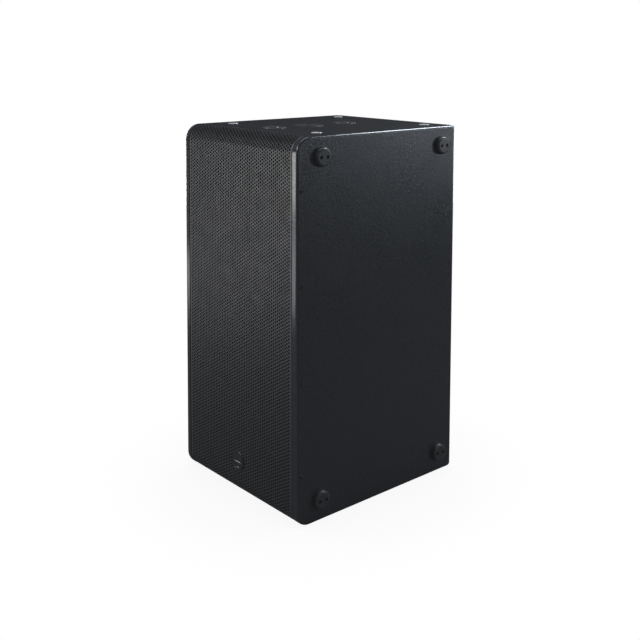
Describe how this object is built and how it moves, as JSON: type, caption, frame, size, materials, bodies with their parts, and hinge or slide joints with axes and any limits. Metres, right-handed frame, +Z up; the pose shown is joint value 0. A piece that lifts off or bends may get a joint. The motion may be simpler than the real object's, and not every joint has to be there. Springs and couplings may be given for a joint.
{
  "type": "loudspeaker cabinet",
  "caption": "Upright black bass-reflex loudspeaker cabinet: perforated wrap-over steel grille, rubber feet on one side, threaded rigging and pole points on top",
  "frame": {"origin": "centre of the cabinet's flat bottom face, where it stands on the floor", "axes": "+X to the side panel with the feet (cabinet width), -Y out of the grille, +Z up along the cabinet's height"},
  "size_m": [0.3996, 0.4571, 0.772],
  "materials": {
    "cabinet_paint": "textured black paint over birch plywood",
    "birch_plywood": "raw plywood",
    "baffle_paint": "matt black paint over plywood",
    "wadding_felt": "grey felted fibre",
    "grille_steel": "satin black powder coat, perforated",
    "grille_foam_black": "open-cell black foam",
    "zinc_hardware": "bright zinc plate",
    "black_screws": "black zinc plate",
    "badge_black": "gloss black, plain",
    "foot_rubber": "black rubber",
    "plug_satin_metal": "satin metal",
    "cup_black_metal": "satin black, worn rim",
    "pole_plate_black": "satin black powder coat",
    "plate_black_steel": "fine textured black powder coat",
    "socket_plastic": "black moulded plastic",
    "wire_insulation": "black cable sheath",
    "basket_aluminium": "black painted die casting",
    "motor_steel": "dark plated steel",
    "magnet_ferrite": "sintered ferrite",
    "cone_paper": "dark pressed paper pulp",
    "former_kapton": "amber polyimide film",
    "coil_copper": "enamelled copper wire",
    "surround_cloth": "doped cloth",
    "gasket_board": "black pressed board",
    "terminal_plastic": "black moulding with plated tags"
  },
  "bodies": {
    "cabinet": {"side_panel_left": "cabinet_paint", "side_panel_right": "cabinet_paint", "top_panel": "cabinet_paint", "bottom_panel": "cabinet_paint", "rear_panel": "cabinet_paint", "window_brace": "birch_plywood", "port_shelf": "birch_plywood", "port_divider": "birch_plywood", "front_baffle": "baffle_paint", "damping_wadding": "wadding_felt", "front_grille": "grille_steel", "grille_foam": "grille_foam_black", "grille_nuts": "zinc_hardware", "driver_tee_nuts": "zinc_hardware", "rigging_inserts": "zinc_hardware", "fly_cup_nuts": "zinc_hardware", "grille_screws": "black_screws", "foot_screws": "black_screws", "pole_mount_screws": "black_screws", "driver_bolts": "black_screws", "input_plate_screws": "black_screws", "socket_screws": "black_screws", "grille_badge": "badge_black", "foot_lower_front": "foot_rubber", "foot_lower_rear": "foot_rubber", "foot_upper_front": "foot_rubber", "foot_upper_rear": "foot_rubber", "input_plate_gasket": "foot_rubber", "rigging_plugs": "plug_satin_metal", "fly_cup_front": "cup_black_metal", "fly_cup_rear": "cup_black_metal", "pole_mount_plate": "pole_plate_black", "input_plate": "plate_black_steel", "input_socket_a": "socket_plastic", "input_socket_b": "socket_plastic", "internal_wiring": "wire_insulation", "upper_basket": "basket_aluminium", "upper_front_plate": "motor_steel", "upper_yoke": "motor_steel", "upper_magnet": "magnet_ferrite", "upper_surround": "surround_cloth", "upper_spider": "surround_cloth", "upper_gasket": "gasket_board", "upper_terminals": "terminal_plastic", "lower_basket": "basket_aluminium", "lower_front_plate": "motor_steel", "lower_yoke": "motor_steel", "lower_magnet": "magnet_ferrite", "lower_surround": "surround_cloth", "lower_spider": "surround_cloth", "lower_gasket": "gasket_board", "lower_terminals": "terminal_plastic"},
    "upper_cone_assembly": {"upper_cone": "cone_paper", "upper_dust_cap": "cone_paper", "upper_coil_former": "former_kapton", "upper_voice_coil": "coil_copper"},
    "lower_cone_assembly": {"lower_cone": "cone_paper", "lower_dust_cap": "cone_paper", "lower_coil_former": "former_kapton", "lower_voice_coil": "coil_copper"}
  },
  "joints": [
    {"name": "upper_cone_travel", "type": "slide", "parent": "cabinet", "child": "upper_cone_assembly", "axis": [0, -1, 0], "range_m": [-0.006, 0.006], "stiffness_N_per_m": 4500, "deforming": ["upper_surround", "upper_spider"]},
    {"name": "lower_cone_travel", "type": "slide", "parent": "cabinet", "child": "lower_cone_assembly", "axis": [0, -1, 0], "range_m": [-0.006, 0.006], "stiffness_N_per_m": 4500, "deforming": ["lower_surround", "lower_spider"]}
  ]
}
